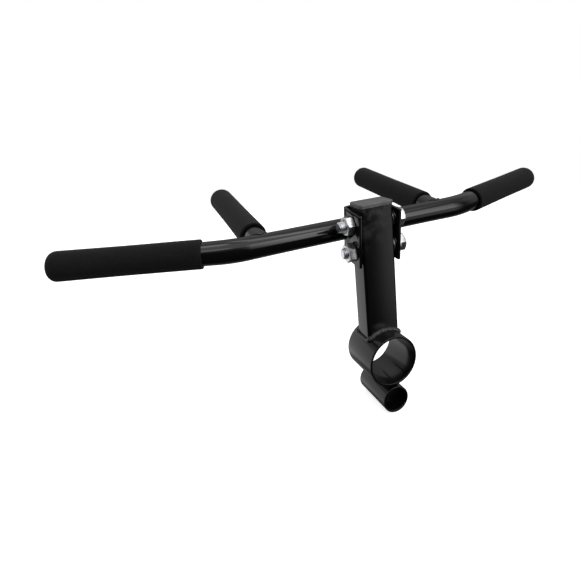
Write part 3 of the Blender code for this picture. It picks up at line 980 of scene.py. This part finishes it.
studio = {
    "floorSize": 3.0,
    "floorGlow": 0.75,
    "floorColour": 0.80,
    "fadeStart": 1.0,
    "fadeStop": 1.45,
    "skyLight": 0.45,
    "roomLight": 0.02,
    "rearLight": 0.16,
    # Soft boxes by bearing and height in degrees: low and high bearing, low and high height,
    # how far the left edge and the right edge fade, and how bright.
    "boxes": (
        (15.5, 45.5, 0.5, 40.0, 11.0, 22.0, 2.8),
        (7.0, 18.0, 12.0, 38.0, 12.0, 12.0, 0.5),
        (32.0, 50.0, -27.0, 5.0, 12.0, 20.0, 0.75),
        (62.0, 125.0, -6.0, 36.0, 20.0, 20.0, 0.40),
        (-176.0, -118.0, -34.0, 22.0, 8.0, 16.0, 0.72),
    ),
    # Panels overhead: middle, half width, half length, turn in degrees, fade, and how bright.
    # Places are where they would stand on a ceiling one unit above.
    "panels": (
        (-0.20, -0.82, 0.95, 0.68, 0.0, 0.14, 0.80),
        (-0.65, -1.18, 0.52, 0.24, 0.0, 0.14, 1.2),
        (0.30, -0.15, 0.062, 0.50, 21.7, 0.04, 2.1),
        (-0.12, -0.08, 0.14, 0.15, 0.0, 0.06, 2.3),
    ),
}


def buildFloor():
    lowest = boxOf("small_sleeve")[0].z - 0.0001
    rings = []
    for radius in (0.02, 0.4, 0.8, 1.2, studio["floorSize"] / 2):
        rings.append(circle(radius, 64, lowest))
    verts = [tuple(point) for ring in rings for point in ring]
    faces = [tuple(range(64))]
    for k in range(len(rings) - 1):
        for j in range(64):
            after = (j + 1) % 64
            faces.append((k * 64 + j, k * 64 + after, (k + 1) * 64 + after, (k + 1) * 64 + j))
    mesh = bpy.data.meshes.new("floor")
    mesh.from_pydata(verts, [], faces)
    floor = bpy.data.objects.new("floor", mesh)
    bpy.context.scene.collection.objects.link(floor)
    material = bpy.data.materials.new("pale floor")
    material.use_nodes = True
    tree = material.node_tree
    tree.nodes.clear()
    bench = NodeBench(tree)
    distance = bench.add("ShaderNodeVectorMath", {"operation": "LENGTH"}, {0: bench.place()}, 1)
    fade = bench.smooth(distance, studio["fadeStart"], studio["fadeStop"])
    paper = bench.add("ShaderNodeBsdfDiffuse", {}, {"Color": grey(studio["floorColour"])})
    glow = bench.add("ShaderNodeEmission", {}, {"Strength": studio["floorGlow"]})
    lit = bench.add("ShaderNodeAddShader", {}, {0: paper, 1: glow})
    clear = bench.add("ShaderNodeBsdfTransparent")
    shown = bench.add("ShaderNodeMixShader", {}, {0: fade, 1: lit, 2: clear})
    output = tree.nodes.new("ShaderNodeOutputMaterial")
    bench.fill(output, {"Surface": shown})
    mesh.materials.append(material)
    floor.visible_glossy = False
    floor.visible_diffuse = False


def within(bench, value, low, high, fade, lastFade=None):
    # 1 between low and high, fading to 0 over the given widths at the two ends.
    last = lastFade or fade
    rise = bench.smooth(value, low - fade / 2, low + fade / 2)
    return rise * (1 - bench.smooth(value, high - last / 2, high + last / 2))


def buildRoom():
    world = bpy.data.worlds.new("studio room")
    bpy.context.scene.world = world
    world.use_nodes = True
    tree = world.node_tree
    tree.nodes.clear()
    bench = NodeBench(tree)
    direction = bench.add("ShaderNodeTexCoord", output=0)
    split = bench.add("ShaderNodeSeparateXYZ", {}, {0: direction})
    x = split
    y = Wire(bench, split.socket.node.outputs[1])
    z = Wire(bench, split.socket.node.outputs[2])
    bearing = x.maths("ARCTAN2", x, 0 - y) * (180 / math.pi)
    height = z.maths("ARCSINE", z, 0.0) * (180 / math.pi)
    light = studio["roomLight"] + bench.smooth(height, 5.0, 55.0) * studio["skyLight"]
    light = light + bench.smooth(y, 0.0, 0.3) * studio["rearLight"]
    for left, right, low, high, fade, lastFade, bright in studio["boxes"]:
        sideways = within(bench, bearing, left, right, fade, lastFade)
        light = light + sideways * within(bench, height, low, high, fade) * bright
    upward = z.maths("MAXIMUM", z, 0.05)
    across = x.maths("DIVIDE", x, upward)
    along = y.maths("DIVIDE", y, upward)
    for middleX, middleY, halfWidth, halfLength, turn, fade, bright in studio["panels"]:
        cosine = math.cos(math.radians(turn))
        sine = math.sin(math.radians(turn))
        first = (across - middleX) * cosine + (along - middleY) * sine
        second = (along - middleY) * cosine - (across - middleX) * sine
        shape = within(bench, first, -halfWidth, halfWidth, fade)
        shape = shape * within(bench, second, -halfLength, halfLength, fade)
        light = light + shape * bench.smooth(z, 0.1, 0.2) * bright
    seen = bench.add("ShaderNodeLightPath", output=0)
    strength = light * (1 - seen) + seen * 1.0
    shown = bench.add("ShaderNodeBackground", {}, {"Color": grey(1.0), "Strength": strength})
    output = tree.nodes.new("ShaderNodeOutputWorld")
    bench.fill(output, {"Surface": shown})


camera = {
    "azimuth": -21.87,
    "elevation": 14.20,
    "roll": -5.22,
    "aim": (0.0, 0.0, 0.100),
    "distance": 0.51597,
    "aside": -0.07251,
    "above": 0.05614,
    "focalWidths": 457.47 / 580,        # focal length in image widths
    "shift": ((290 - 310.47) / 580, (220.05 - 290) / 580),
    "sensor": 36.0,
}


def buildCamera():
    azimuth = math.radians(camera["azimuth"])
    elevation = math.radians(camera["elevation"])
    roll = math.radians(camera["roll"])
    back = Vector((
        math.sin(azimuth) * math.cos(elevation),
        -math.cos(azimuth) * math.cos(elevation),
        math.sin(elevation),
    ))
    levelRight = (-back).cross(Vector((0, 0, 1))).normalized()
    levelUp = levelRight.cross(-back)
    right = math.cos(roll) * levelRight + math.sin(roll) * levelUp
    up = -math.sin(roll) * levelRight + math.cos(roll) * levelUp
    data = bpy.data.cameras.new("camera")
    data.sensor_width = camera["sensor"]
    data.lens = camera["sensor"] * camera["focalWidths"]
    data.shift_x, data.shift_y = camera["shift"]
    data.clip_start = 0.01
    data.clip_end = 50.0
    viewer = bpy.data.objects.new("camera", data)
    bpy.context.scene.collection.objects.link(viewer)
    place = Vector(camera["aim"]) + back * camera["distance"]
    place += right * camera["aside"] + up * camera["above"]
    turn = Matrix((right, up, back)).transposed().to_4x4()
    viewer.matrix_world = Matrix.Translation(place) @ turn
    bpy.context.scene.camera = viewer


buildFloor()
buildRoom()
buildCamera()
bpy.context.scene.view_settings.view_transform = "Standard"
bpy.context.scene.view_settings.look = "None"
print("studio made")

bpy.context.view_layer.update()
